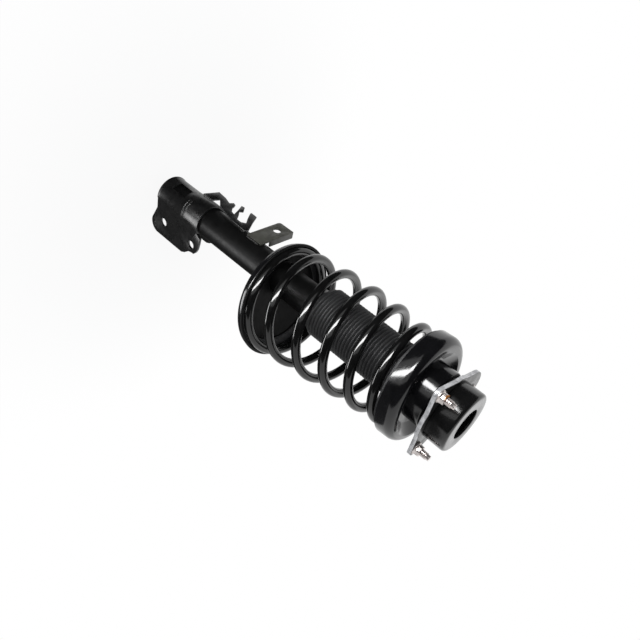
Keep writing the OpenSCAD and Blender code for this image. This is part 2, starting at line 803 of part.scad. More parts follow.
// Side outline of the ears, as x and z
module ear_outline() {
    lobe = 17;
    translate([ear_reach - lobe, ear_low + lobe]) circle(lobe);
    polygon([
        [0, ear_low + 13], [20, ear_low + 13], [ear_reach - lobe - 6, ear_low + 1.1],
        [ear_reach - lobe, ear_low + lobe], [ear_reach, ear_low + lobe],
        [ear_reach, -bolt_drop - 23], [ear_reach - 4, -bolt_drop - 14],
        [ear_reach - 12, -bolt_drop - 4.5], [ear_reach - 14.3, -bolt_drop + 3],
        [ear_reach - 14.5, -bolt_drop + 8.5], [ear_reach - 19.5, -bolt_drop + 13.3],
        [bolt_x, ear_top - 3.5], [28, ear_top - 1.2], [18, ear_top], [12, collar_top - 2],
        [0, collar_top - 6]
    ]);
}

// Side outline of the shallow pocket round the lower bolt, as x and z
module ear_pocket() {
    translate([bolt_x, bolt_low]) polygon([
        [-16.2, 23.3], [0.2, 37.3], [18, 30], [21.5, 12], [22, -12], [18.5, -21], [10, -26],
        [-14, -20.5], [-23, -15], [-24, 12]
    ]);
}

module clevis_bracket() {
    color("#19191a") difference() {
        union() {
            intersection() {
                translate([0, 0, ear_low - 1]) linear_extrude(ear_top - ear_low + 2) {
                    translate([0, clevis_in_y]) square([ear_reach + 1, clevis_t]);
                    translate([0, -clevis_out_y]) square([ear_reach + 1, clevis_t]);
                }
                rotate([90, 0, 0]) translate([0, 0, -clevis_out_y - 1])
                    linear_extrude(2 * clevis_out_y + 2) ear_outline();
            }
            difference() {
                union() {
                    translate([0, 0, tube_low]) cylinder(r = wrap_r, h = collar_low - tube_low + 2);
                    translate([0, 0, collar_low]) cylinder(r = collar_out_r, h = collar_h);
                    translate([0, 0, tube_low]) cylinder(r1 = wrap_r + 1.2, r2 = wrap_r, h = 4);
                    for (z = [5, 10.4]) translate([0, 0, collar_low + z]) intersection() {
                        rotate_extrude() translate([collar_out_r - 0.4, 0]) circle(1.3, $fn = 24);
                        translate([-40, -40, -5]) cube([40, 26, 10]);
                    }
                }
                translate([12, -50, tube_low - 1]) cube([60, 100, 150]);
                translate([0, -50, tube_low - 1]) cube([60, 100, collar_low - tube_low - 4]);
            }
        }
        translate([0, 0, tube_low - 1]) cylinder(r = tube_r, h = collar_top - tube_low + 30);
        translate([0, 0, collar_low + 3]) cylinder(r = collar_in_r, h = collar_h);
        translate([0, -clevis_in_y, ear_low - 2]) cube([ear_reach + 2, clevis_gap, 160]);
        for (z = [bolt_low, -bolt_drop]) translate([bolt_x, 50, z]) rotate([90, 0, 0])
            cylinder(d = bolt_hole_d, h = 100);
        rotate(197) translate([tube_r - 5, -9, collar_low - 39]) cube([12, 18, 32]);
        for (side = [-1, 1]) translate([0, side * (clevis_out_y + 2 - pocket_depth), 0])
            rotate([90, 0, 0]) translate([0, 0, -2]) linear_extrude(4) ear_pocket();
    }
}

module clevis_strap() {
    color("#1d1d1e") intersection() {
        ring(tube_r, tube_r + strap_t, bolt_low + strap_inset, -bolt_drop - strap_inset);
        translate([0, -clevis_in_y, bolt_low]) cube([tube_d, clevis_gap, bolt_pitch]);
    }
}

// ---- Small brackets on the tube ----

module brake_hose_bracket() {
    low_z = -hose_drop - hose_h;
    hole_y = hose_reach - 21;
    flange_y = tube_r - 5;
    color("#35352f") difference() {
        union() {
            translate([-tube_r - hose_t, 0, low_z]) cube([hose_t, hose_reach, hose_h]);
            translate([-tube_r - hose_t, flange_y, -hose_drop - hose_t])
                cube([hose_flange, hose_reach - flange_y, hose_t]);
        }
        translate([0, 0, low_z - 1]) cylinder(r = tube_r, h = hose_h + 2);
        translate([-tube_r + 5, hole_y, -hose_drop - hose_h / 2]) rotate([0, -90, 0])
            cylinder(d = hose_hole_d, h = 20);
        translate([-tube_r - hose_t - 1, hose_reach - 5, low_z - 1]) rotate([0, 0, 0])
            difference() {
                cube([hose_t + 2, 6, 6]);
                translate([-1, 0, 6]) rotate([0, 90, 0]) cylinder(r = 5, h = hose_t + 4);
            }
    }
}

// Outline of the wire bracket, as y and the height above the collar's upper edge
wire_outline = [
    [12.6, -41.3], [39.5, -33.2], [38.7, -28.3], [37.1, -13.4], [32.2, 1.3], [39, 4.6],
    [37.2, 10.6], [32.7, 13.4], [26.7, 15.5], [19.1, 23.3], [17.2, 30.6], [30.9, 24.2],
    [44.7, 16.7], [46, 23.4], [35.4, 32.5], [30.1, 28.8], [22.2, 36.4], [12.2, 44.3],
    [12, 53.8], [17.2, 59.7], [28.1, 50.8], [41.6, 41.3], [45.2, 40.8], [44.6, 54.4],
    [25.6, 65.6], [4.8, 79.3], [0.5, 74], [2.8, 40.4], [4.7, 30.7], [12.3, 1.6],
    [25.1, -14.1], [12.6, -18.5]
];

module wire_bracket() {
    out_x = collar_out_r - 0.6;
    color("#222223") translate([0, 0, collar_top]) {
        rotate([90, 0, 90]) translate([0, 0, -out_x])
            linear_extrude(wire_bracket_t) polygon(wire_outline);
        translate([0.5 - out_x, 2, 66]) cube([out_x - tube_r - 0.55, 6, 6]);
    }
}

mount_plate();
mount_cap();
mount_base();
mount_rubber();
mount_sleeve();
mount_studs();
stud_nuts();
bearing_upper_race();
piston_rod();
rod_washers();
rod_nut();
bump_stop_cup();
bump_stop();
rebound_stop();
piston();
piston_band();
piston_nut();
upper_spring_seat();
upper_isolator();
bearing_lower_race();
bearing_balls();
bearing_cage();
bearing_seal();
coil_spring();
dust_boot();
strut_tube();
tube_end_cap();
base_cup();
inner_cylinder();
base_valve();
rod_guide();
guide_bush();
rod_seal();
lower_spring_seat();
lower_isolator();
clevis_bracket();
clevis_strap();
brake_hose_bracket();
wire_bracket();
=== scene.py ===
import bpy
import bmesh
import json
import math
from mathutils import Matrix, Vector

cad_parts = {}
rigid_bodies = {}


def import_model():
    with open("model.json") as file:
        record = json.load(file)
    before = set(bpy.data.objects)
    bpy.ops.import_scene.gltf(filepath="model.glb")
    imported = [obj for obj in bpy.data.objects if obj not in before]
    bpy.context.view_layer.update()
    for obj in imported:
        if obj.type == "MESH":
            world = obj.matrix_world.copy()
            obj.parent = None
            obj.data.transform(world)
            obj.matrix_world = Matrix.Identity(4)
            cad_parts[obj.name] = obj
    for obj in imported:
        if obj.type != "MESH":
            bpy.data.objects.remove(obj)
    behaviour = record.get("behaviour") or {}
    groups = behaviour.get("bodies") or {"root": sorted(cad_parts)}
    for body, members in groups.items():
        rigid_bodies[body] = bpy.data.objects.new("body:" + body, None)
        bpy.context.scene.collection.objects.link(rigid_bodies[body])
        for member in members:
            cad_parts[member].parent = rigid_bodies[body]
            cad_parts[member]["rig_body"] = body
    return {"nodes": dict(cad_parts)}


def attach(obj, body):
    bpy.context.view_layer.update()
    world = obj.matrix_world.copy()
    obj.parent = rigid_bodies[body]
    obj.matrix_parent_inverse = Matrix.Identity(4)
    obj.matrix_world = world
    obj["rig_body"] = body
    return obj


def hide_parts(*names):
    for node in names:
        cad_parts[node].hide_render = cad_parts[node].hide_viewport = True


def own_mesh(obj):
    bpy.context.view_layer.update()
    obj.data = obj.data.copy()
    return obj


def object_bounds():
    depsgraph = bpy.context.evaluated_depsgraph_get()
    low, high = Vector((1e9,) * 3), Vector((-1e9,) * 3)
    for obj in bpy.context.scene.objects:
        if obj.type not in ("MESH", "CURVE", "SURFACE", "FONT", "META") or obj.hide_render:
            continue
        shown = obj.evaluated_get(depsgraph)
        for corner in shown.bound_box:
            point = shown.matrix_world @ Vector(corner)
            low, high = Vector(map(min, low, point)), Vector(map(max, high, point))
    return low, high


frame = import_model()
nodes = frame["nodes"]
cadBox = [list(corner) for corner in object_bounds()]
print("frame loaded:", len(nodes), "nodes")


# ---- camera and studio ----

view = {
    "place": (-0.5663, -0.6006, 0.1856),
    "right": (-0.20251, 0.68105, 0.70368),
    "down": (0.75276, -0.35135, 0.55669),
    "ahead": (0.62637, 0.64243, -0.44152),
    "lens": 36.0,
    "sensor": 36.0,
}


def addCamera():
    cam = bpy.data.objects.new("shotCamera", bpy.data.cameras.new("shotCamera"))
    bpy.context.scene.collection.objects.link(cam)
    cam.data.lens = view["lens"]
    cam.data.sensor_width = view["sensor"]
    cam.data.clip_start = 0.01
    right, down, ahead = (Vector(view[k]) for k in ("right", "down", "ahead"))
    turn = Matrix((right, -down, -ahead)).transposed().to_4x4()
    cam.matrix_world = Matrix.Translation(view["place"]) @ turn
    bpy.context.scene.camera = cam
    return cam


lamps = {
    # name: place from the mount and the way it is turned from the object, both given rightward,
    # upward and towards the camera, then its long side's way, width, height, level, what it lights
    "softMain": ((-0.13, 0.46, 1.20), (-0.10, 0.35, 0.93), (1, 0, 0), 1.20, 1.20, 2.0, "surfaces"),
    "keyStrip": ((-0.436, 0.213, 0.257), (0.202, 0.342, 0.918), (0.966, -0.226, -0.128), 0.86, 0.06,
                 26.0, "reflections"),
    "keyHalo": ((-0.440, 0.215, 0.260), (0.202, 0.342, 0.918), (0.966, -0.226, -0.128), 0.90, 0.26,
                0.9, "reflections"),
    "panStrip": ((-0.66, 0.12, -0.07), (-1.0, 0.0, 0.0), (0, 1, 0), 0.26, 0.16, 9.0, "reflections"),
    "backPanel": ((1.49, -1.18, -1.46), (0.62, -0.49, -0.61), (0, 1, 0), 2.00, 1.50, 0.35,
                  "reflections"),
}
studio = {
    "lampMiddle": (0, 0, -0.03), "darkMiddle": (0, 0, -0.25), "worldLight": 0.55,
    "floorGap": 0.012, "floorHalf": 3.0, "floorShow": 0.10, "fadeFrom": 0.10, "fadeTo": 0.55,
}
darkSides = [
    {"name": "darkFront", "way": (-0.02, 0.50, 0.86), "radius": 3.2, "reach": 86.0, "glow": 0.02},
    {"name": "darkLeft", "way": (-0.92, 0.00, -0.38), "radius": 2.9, "reach": 50.0, "glow": 0.07},
]


def awayFrom(way):
    # a direction given as rightward, upward and towards the camera
    right, down, ahead = (Vector(view[k]) for k in ("right", "down", "ahead"))
    return (right * way[0] - down * way[1] - ahead * way[2]).normalized()


def addLamps():
    for name, (place, turned, along, wide, high, level, lights) in lamps.items():
        data = bpy.data.lights.new(name, "AREA")
        data.shape = "RECTANGLE"
        data.size, data.size_y = wide, high
        data.energy = level * math.pi * wide * high
        lamp = bpy.data.objects.new(name, data)
        bpy.context.scene.collection.objects.link(lamp)
        aim = awayFrom(turned)
        across = awayFrom(along)
        across = (across - aim * across.dot(aim)).normalized()
        turn = Matrix((across, aim.cross(across), aim)).transposed()
        lamp.location = Vector(studio["lampMiddle"]) + awayFrom(place) * Vector(place).length
        lamp.rotation_euler = turn.to_euler()
        lamp.visible_camera = False
        lamp.visible_diffuse = lights == "surfaces"
        lamp.visible_glossy = lights == "reflections"


def addDarkSide(side, middle):
    # an unlit side of the studio, met only by reflections
    bm = bmesh.new()
    bmesh.ops.create_uvsphere(bm, u_segments=48, v_segments=24, radius=side["radius"])
    aim = awayFrom(side["way"])
    edge = aim * side["radius"] * math.cos(math.radians(side["reach"]))
    everything = bm.verts[:] + bm.edges[:] + bm.faces[:]
    bmesh.ops.bisect_plane(bm, geom=everything, plane_co=edge, plane_no=aim, clear_inner=True)
    bmesh.ops.translate(bm, verts=bm.verts, vec=middle)
    card = newPiece(side["name"], bm)
    mat = bpy.data.materials.new(side["name"])
    mat.use_nodes = True
    tree = mat.node_tree
    tree.nodes.clear()
    out = tree.nodes.new("ShaderNodeOutputMaterial")
    glow = tree.nodes.new("ShaderNodeEmission")
    glow.inputs["Color"].default_value = (1, 1, 1, 1)
    glow.inputs["Strength"].default_value = side["glow"]
    tree.links.new(glow.outputs[0], out.inputs[0])
    card.data.materials.append(mat)
    card.visible_camera = card.visible_diffuse = card.visible_shadow = False
    card.visible_transmission = False


def seenRays(tree):
    # 1 for rays that should meet plain white, 0 for the rays that only carry light
    path = tree.nodes.new("ShaderNodeLightPath")
    wanted = ["Is Camera Ray", "Is Transmission Ray", "Is Glossy Ray"]
    total = path.outputs[wanted[0]]
    for name in wanted[1:]:
        join = tree.nodes.new("ShaderNodeMath")
        join.operation = "MAXIMUM"
        tree.links.new(total, join.inputs[0])
        tree.links.new(path.outputs[name], join.inputs[1])
        total = join.outputs[0]
    return total


def addWorld():
    world = bpy.data.worlds.new("studio")
    bpy.context.scene.world = world
    world.use_nodes = True
    tree = world.node_tree
    tree.nodes.clear()
    out = tree.nodes.new("ShaderNodeOutputWorld")
    mix = tree.nodes.new("ShaderNodeMixShader")
    dim = tree.nodes.new("ShaderNodeBackground")
    dim.inputs["Color"].default_value = (0.95, 0.97, 1.0, 1)
    dim.inputs["Strength"].default_value = studio["worldLight"]
    white = tree.nodes.new("ShaderNodeBackground")
    white.inputs["Color"].default_value = (1, 1, 1, 1)
    white.inputs["Strength"].default_value = 1.0
    tree.links.new(seenRays(tree), mix.inputs[0])
    tree.links.new(dim.outputs[0], mix.inputs[1])
    tree.links.new(white.outputs[0], mix.inputs[2])
    tree.links.new(mix.outputs[0], out.inputs[0])


def addFloor():
    low = cadBox[0][2] - studio["floorGap"]
    bm = bmesh.new()
    bmesh.ops.create_grid(bm, x_segments=2, y_segments=2, size=studio["floorHalf"])
    bmesh.ops.translate(bm, verts=bm.verts, vec=(0, 0, low))
    floor = newPiece("floor", bm)
    mat = bpy.data.materials.new("paleFloor")
    mat.use_nodes = True
    tree = mat.node_tree
    tree.nodes.clear()
    out = tree.nodes.new("ShaderNodeOutputMaterial")
    mix = tree.nodes.new("ShaderNodeMixShader")
    card = tree.nodes.new("ShaderNodeBsdfDiffuse")
    card.inputs["Color"].default_value = (0.86, 0.86, 0.86, 1)
    glow = tree.nodes.new("ShaderNodeEmission")
    glow.inputs["Strength"].default_value = 1.0
    coord = tree.nodes.new("ShaderNodeTexCoord")
    reach = tree.nodes.new("ShaderNodeVectorMath")
    reach.operation = "LENGTH"
    flat = tree.nodes.new("ShaderNodeMapping")
    flat.inputs["Scale"].default_value = (1, 1, 0)
    fade = tree.nodes.new("ShaderNodeMapRange")
    fade.interpolation_type = "SMOOTHSTEP"
    for socket, value in (("From Min", studio["fadeFrom"]), ("From Max", studio["fadeTo"]),
                          ("To Min", 1 - studio["floorShow"]), ("To Max", 1.0)):
        fade.inputs[socket].default_value = value
    tree.links.new(coord.outputs["Object"], flat.inputs["Vector"])
    tree.links.new(flat.outputs["Vector"], reach.inputs[0])
    tree.links.new(reach.outputs["Value"], fade.inputs["Value"])
    share = tree.nodes.new("ShaderNodeMath")
    share.operation = "MULTIPLY"
    tree.links.new(fade.outputs["Result"], share.inputs[1])
    tree.links.new(seenRays(tree), share.inputs[0])
    tree.links.new(share.outputs[0], mix.inputs[0])
    tree.links.new(card.outputs[0], mix.inputs[1])
    tree.links.new(glow.outputs[0], mix.inputs[2])
    tree.links.new(mix.outputs[0], out.inputs[0])
    floor.data.materials.append(mat)
    floor.visible_glossy = floor.visible_shadow = False


# ---- making pieces ----

def newPiece(name, bm, smoothAngle=None):
    mesh = bpy.data.meshes.new(name)
    bm.to_mesh(mesh)
    bm.free()
    piece = bpy.data.objects.new(name, mesh)
    bpy.context.scene.collection.objects.link(piece)
    if smoothAngle is not None:
        mesh.shade_smooth()
        mesh.set_sharp_from_angle(angle=math.radians(smoothAngle))
    return piece


def sharpEdges(bm, angle):
    limit = math.radians(angle)
    return [e for e in bm.edges if len(e.link_faces) == 2 and e.calc_face_angle(0) > limit]


softening = {"merge": 2e-6, "flatTo": 0.6, "edgeFrom": 28, "smoothTo": 35}


def softened(nodeName, pieceName, width, segments, edgeIndex):
    # a copy of a CAD node with its edges rounded
    bm = bmesh.new()
    bm.from_mesh(nodes[nodeName].data)
    bmesh.ops.remove_doubles(bm, verts=bm.verts, dist=softening["merge"])
    bmesh.ops.dissolve_limit(bm, angle_limit=math.radians(softening["flatTo"]), verts=bm.verts,
                             edges=bm.edges)
    made = bmesh.ops.bevel(bm, geom=sharpEdges(bm, softening["edgeFrom"]), offset=width,
                           offset_type="OFFSET", segments=segments, profile=0.5,
                           affect="EDGES", clamp_overlap=True, material=-1)
    for face in made["faces"]:
        face.material_index = edgeIndex
    bmesh.ops.triangulate(bm, faces=[f for f in bm.faces if len(f.verts) > 4])
    piece = newPiece(pieceName, bm, softening["smoothTo"])
    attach(piece, nodes[nodeName]["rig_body"])
    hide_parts(nodeName)
    return piece


def wear(piece, material):
    if piece.data.materials:
        piece.data.materials.clear()
    piece.data.materials.append(material)
    return piece


def turnedShell(bm, profile, steps):
    # profile: (radius, height) pairs, turned about Z
    line = [bm.verts.new((r, 0, z)) for r, z in profile]
    edges = [bm.edges.new(pair) for pair in zip(line, line[1:])]
    bmesh.ops.spin(bm, geom=line + edges, cent=(0, 0, 0), axis=(0, 0, 1), dvec=(0, 0, 0),
                   angle=math.tau, steps=steps, use_merge=True)
    bmesh.ops.remove_doubles(bm, verts=bm.verts, dist=1e-6)


def spun(name, profile, steps, smoothAngle=35):
    bm = bmesh.new()
    turnedShell(bm, profile, steps)
    bmesh.ops.recalc_face_normals(bm, faces=bm.faces)
    return newPiece(name, bm, smoothAngle)


def swept(name, points, radius, radii=None, resolution=6, cyclic=False):
    # a round bar along points, made as a curve and turned into a mesh
    curve = bpy.data.curves.new(name, "CURVE")
    curve.dimensions = "3D"
    curve.bevel_depth = radius
    curve.bevel_resolution = resolution
    curve.use_fill_caps = True
    line = curve.splines.new("POLY")
    line.points.add(len(points) - 1)
    for i, p in enumerate(points):
        line.points[i].co = (*p, 1)
        if radii:
            line.points[i].radius = radii[i]
    line.use_cyclic_u = cyclic
    shape = bpy.data.objects.new(name + "Curve", curve)
    bpy.context.scene.collection.objects.link(shape)
    bpy.context.view_layer.update()
    solved = shape.evaluated_get(bpy.context.evaluated_depsgraph_get())
    mesh = bpy.data.meshes.new_from_object(solved)
    bpy.data.objects.remove(shape)
    bpy.data.curves.remove(curve)
    bm = bmesh.new()
    bm.from_mesh(mesh)
    bpy.data.meshes.remove(mesh)
    bmesh.ops.remove_doubles(bm, verts=bm.verts, dist=1e-7)
    bmesh.ops.recalc_face_normals(bm, faces=bm.faces)
    return newPiece(name, bm, 50)


# ---- materials ----

def finish(name, look):
    # one painted, plated, moulded or bare finish; look holds what a user would change
    mat = bpy.data.materials.new(name)
    mat.use_nodes = True
    tree = mat.node_tree
    shader = tree.nodes["Principled BSDF"]
    add, link = tree.nodes.new, tree.links.new
    coord = add("ShaderNodeTexCoord")
    place = add("ShaderNodeMapping")
    place.inputs["Scale"].default_value = look.get("stretch", (1, 1, 1))
    link(coord.outputs["Object"], place.inputs["Vector"])

    def noise(scale, detail=3.0, rough=0.55):
        n = add("ShaderNodeTexNoise")
        n.inputs["Scale"].default_value = scale
        n.inputs["Detail"].default_value = detail
        n.inputs["Roughness"].default_value = rough
        link(place.outputs["Vector"], n.inputs["Vector"])
        return n.outputs["Fac"]

    def span(value, low, high, fromLow=0.3, fromHigh=0.7):
        m = add("ShaderNodeMapRange")
        m.inputs["From Min"].default_value = fromLow
        m.inputs["From Max"].default_value = fromHigh
        m.inputs["To Min"].default_value = low
        m.inputs["To Max"].default_value = high
        link(value, m.inputs["Value"])
        return m.outputs["Result"]

    def blendColors(factor, first, second):
        m = add("ShaderNodeMix")
        m.data_type = "RGBA"
        link(factor, m.inputs[0])
        for socket, value in ((m.inputs[6], first), (m.inputs[7], second)):
            if isinstance(value, tuple):
                socket.default_value = (*value, 1)
            else:
                link(value, socket)
        return m.outputs[2]

    cloud = noise(look.get("cloudScale", 40), 4)
    color = blendColors(span(cloud, 0, 1), look["color"], look["second"])
    if "speck" in look:
        dots = noise(look.get("speckScale", 900), 2)
        low = look.get("speckFrom", 0.68)
        color = blendColors(span(dots, 0, look.get("speckMost", 0.8), low, low + 0.06),
                            color, look["speck"])
    link(color, shader.inputs["Base Color"])
    low, high = look["rough"]
    link(span(noise(look.get("roughScale", 120), 3), low, high), shader.inputs["Roughness"])
    bump = add("ShaderNodeBump")
    bump.inputs["Strength"].default_value = look.get("bump", 0.2)
    bump.inputs["Distance"].default_value = look.get("bumpDepth", 0.0002)
    link(noise(look.get("bumpScale", 700), look.get("bumpDetail", 2)), bump.inputs["Height"])
    link(bump.outputs["Normal"], shader.inputs["Normal"])
    shader.inputs["Metallic"].default_value = look.get("metal", 0.0)
    shader.inputs["Specular IOR Level"].default_value = look.get("specular", 0.5)
    return mat


looks = {
    "seatGloss": {"color": (0.0035, 0.0035, 0.004), "second": (0.007, 0.007, 0.008),
                  "rough": (0.10, 0.18),
                  "bump": 0.05, "bumpScale": 160, "cloudScale": 30},
    "springCoat": {"color": (0.0035, 0.0035, 0.0035), "second": (0.007, 0.007, 0.007),
                   "rough": (0.09, 0.14),
                   "bump": 0.02, "bumpScale": 300, "cloudScale": 60},
    "tubeSatin": {"color": (0.003, 0.003, 0.003), "second": (0.007, 0.007, 0.007),
                  "rough": (0.34, 0.46),
                  "bump": 0.12, "bumpScale": 600, "cloudScale": 50, "specular": 0.16,
                  "speck": (0.05, 0.05, 0.05), "speckScale": 1100},
    "pressedBlack": {"color": (0.003, 0.003, 0.003), "second": (0.009, 0.009, 0.009),
                     "rough": (0.24, 0.38),
                     "bump": 0.15, "bumpScale": 420, "cloudScale": 70,
                     "speck": (0.08, 0.08, 0.08), "speckScale": 800},
    "panInside": {"color": (0.003, 0.003, 0.003), "second": (0.008, 0.008, 0.008),
                  "rough": (0.45, 0.6),
                  "bump": 0.15, "bumpScale": 420, "cloudScale": 40, "specular": 0.12},
    # painted highlight: lighter grey for the rounded edges of the pressed brackets
    "edgeHighlight": {"color": (0.05, 0.05, 0.05), "second": (0.16, 0.16, 0.16), "rough": (0.22, 0.34),
                  "bump": 0.1, "bumpScale": 420, "cloudScale": 60},
    "plateBlack": {"color": (0.008, 0.008, 0.008), "second": (0.02, 0.02, 0.02),
                   "rough": (0.26, 0.38),
                   "bump": 0.2, "bumpScale": 380, "cloudScale": 40},
    # plate skirt: lighter grey, partly bare metal and partly a painted highlight band
    "plateRimSheen": {"color": (0.30, 0.30, 0.31), "second": (0.75, 0.75, 0.76), "rough": (0.30, 0.45),
                 "bump": 0.3, "bumpScale": 380, "cloudScale": 160, "metal": 0.2},
    "capBlack": {"color": (0.0045, 0.0045, 0.0045), "second": (0.009, 0.009, 0.009),
                 "rough": (0.14, 0.22),
                 "bump": 0.06, "bumpScale": 300, "cloudScale": 40},
    "hoseOlive": {"color": (0.042, 0.042, 0.034), "second": (0.075, 0.075, 0.062),
                  "rough": (0.4, 0.55),
                  "bump": 0.3, "bumpScale": 500, "cloudScale": 90,
                  "speck": (0.14, 0.14, 0.12), "speckScale": 700},
    "mountRubber": {"color": (0.008, 0.008, 0.008), "second": (0.016, 0.016, 0.016),
                    "rough": (0.6, 0.8),
                    "bump": 0.4, "bumpScale": 900, "specular": 0.3},
    "bootRubber": {"color": (0.016, 0.016, 0.017), "second": (0.03, 0.03, 0.031),
                   "rough": (0.5, 0.68),
                   "bump": 0.3, "bumpScale": 900, "cloudScale": 50, "specular": 0.35,
                   "speck": (0.08, 0.08, 0.08), "speckScale": 600},
    "padRubber": {"color": (0.012, 0.012, 0.013), "second": (0.024, 0.024, 0.026),
                  "rough": (0.5, 0.7),
                  "bump": 0.3, "bumpScale": 700, "specular": 0.35},
    "stopFoam": {"color": (0.16, 0.12, 0.06), "second": (0.26, 0.2, 0.11), "rough": (0.7, 0.9),
                 "bump": 0.5, "bumpScale": 1400, "bumpDetail": 6},
    "zincYellow": {"color": (0.56, 0.51, 0.49), "second": (0.74, 0.69, 0.67), "rough": (0.26, 0.40),
                   "bump": 0.2, "bumpScale": 900, "cloudScale": 160, "metal": 0.85},
    # painted glint: orange reflection colour for the top and one side of one nut
    "zincOrangeGlint": {"color": (0.42, 0.15, 0.03), "second": (0.60, 0.26, 0.07), "rough": (0.24, 0.36),
                   "bump": 0.2, "bumpScale": 900, "cloudScale": 160, "metal": 0.5},
    "turnedSteel": {"color": (0.42, 0.42, 0.43), "second": (0.58, 0.58, 0.6), "rough": (0.25, 0.4),
                    "bump": 0.2, "bumpScale": 300, "stretch": (1, 1, 12), "metal": 1.0},
    "groundSteel": {"color": (0.55, 0.55, 0.57), "second": (0.68, 0.68, 0.70),
                    "rough": (0.14, 0.24),
                    "bump": 0.1, "bumpScale": 500, "stretch": (1, 1, 20), "metal": 1.0},
    "hardChrome": {"color": (0.72, 0.73, 0.75), "second": (0.82, 0.83, 0.85), "rough": (0.05, 0.12),
                   "bump": 0.05, "bumpScale": 900, "stretch": (1, 1, 16), "metal": 1.0},
    "bushBronze": {"color": (0.45, 0.3, 0.14), "second": (0.6, 0.42, 0.2), "rough": (0.3, 0.45),
                   "bump": 0.3, "bumpScale": 1500, "metal": 1.0},
    "bandPlastic": {"color": (0.05, 0.12, 0.05), "second": (0.08, 0.18, 0.08),
                    "rough": (0.4, 0.55)},
    "cagePlastic": {"color": (0.6, 0.56, 0.44), "second": (0.7, 0.66, 0.54), "rough": (0.4, 0.55)},
    "weldDark": {"color": (0.006, 0.006, 0.006), "second": (0.02, 0.019, 0.018),
                 "rough": (0.3, 0.5),
                 "bump": 0.5, "bumpScale": 500, "cloudScale": 300},
}
paint = {name: finish(name, look) for name, look in looks.items()}
print("materials made:", len(paint))

finishes = {
    "mount_plate": "plateBlack", "mount_cap": "capBlack", "mount_base": "plateBlack",
    "mount_rubber": "mountRubber", "mount_sleeve": "turnedSteel", "mount_studs": "zincYellow",
    "stud_nuts": "zincYellow", "bearing_upper_race": "groundSteel", "piston_rod": "hardChrome",
    "rod_washers": "turnedSteel", "rod_nut": "turnedSteel", "bump_stop_cup": "pressedBlack",
    "bump_stop": "stopFoam", "rebound_stop": "turnedSteel", "piston": "turnedSteel",
    "piston_band": "bandPlastic", "piston_nut": "turnedSteel", "upper_spring_seat": "seatGloss",
    "upper_isolator": "padRubber", "bearing_lower_race": "groundSteel",
    "bearing_balls": "hardChrome", "bearing_cage": "cagePlastic", "bearing_seal": "padRubber",
    "coil_spring": "springCoat", "dust_boot": "bootRubber", "strut_tube": "tubeSatin",
    "tube_end_cap": "pressedBlack", "base_cup": "tubeSatin", "inner_cylinder": "turnedSteel",
    "base_valve": "turnedSteel", "rod_guide": "turnedSteel", "guide_bush": "bushBronze",
    "rod_seal": "padRubber", "lower_spring_seat": "seatGloss", "lower_isolator": "padRubber",
    "clevis_bracket": "pressedBlack", "clevis_strap": "pressedBlack",
    "brake_hose_bracket": "hoseOlive", "wire_bracket": "pressedBlack",
}
for nodeName, finishName in finishes.items():
    wear(nodes[nodeName], paint[finishName])


# ---- coil spring ----

coil = {
    "wire": 0.0135, "rLow": 0.0795, "rTop": 0.067, "barrel": 0.0037, "turns": 6.0, "start": 71.0,
    "openFrom": 0.03, "openLow": 1.33, "closeTop": 0.83, "bias": 0.0113, "bow": 0.0051,
    "topZ": -0.067, "lowZ": -0.299, "topX": 0.0042, "lowX": 0.032, "topTilt": 5.0, "lowTilt": 10.5,
    "steps": 60, "fixedEnd": -0.060,
}


def ramp(t, t0, span):
    if t <= t0:
        return 0.0
    return (t - t0) ** 2 / (2 * span) if t < t0 + span else t - t0 - span / 2


def coilPoint(t):
    c = coil
    closeFrom = c["turns"] - c["closeTop"]

    def climb(s):
        return ramp(s, c["openFrom"], c["openLow"]) - ramp(s, closeFrom, c["closeTop"])

    v = t / c["turns"]
    z = c["lowZ"] + (c["topZ"] - c["lowZ"]) * climb(t) / climb(c["turns"])
    z += c["bias"] * 16 * v ** 2 * (1 - v) ** 2
    u = (c["topZ"] - z) / (c["topZ"] - c["lowZ"])
    r = c["rTop"] + (c["rLow"] - c["rTop"]) * u + 4 * c["barrel"] * u * (1 - u)
    tilt = math.radians(c["topTilt"] + (c["lowTilt"] - c["topTilt"]) * u)
    x = c["topX"] + (c["lowX"] - c["topX"]) * u - 4 * c["bow"] * u * (1 - u)
    way = math.radians(c["start"] + 360 * t)
    return (x + r * math.cos(way) * math.cos(tilt), r * math.sin(way),
            z + r * math.cos(way) * math.sin(tilt))


def addSpring():
    count = int(coil["turns"] * coil["steps"])
    points = [coilPoint(coil["turns"] * i / count) for i in range(count + 1)]
    spring = swept("coilSpring", points, coil["wire"] / 2, resolution=8)
    wear(spring, paint["springCoat"])
    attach(spring, "spring_seat")
    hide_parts("coil_spring")
    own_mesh(spring)
    print("spring made:", len(spring.data.polygons), "faces")


# ---- dust boot ----

boot = {
    "top": -0.0268, "low": -0.226, "crest": 0.0390, "depth": 0.0034, "ribs": 30,
    "ribsTop": -0.0648, "ribsLow": -0.222, "plain": 0.0355, "flange": 0.0407, "wall": 0.0014,
    "cuff": 0.0278,
    # along the pitch and out from the root, both as parts of one rib
    "ribShape": ((0.0, 0.0), (0.12, 0.28), (0.28, 0.82), (0.42, 0.99), (0.55, 1.0), (0.70, 0.84),
                 (0.86, 0.30)),
}


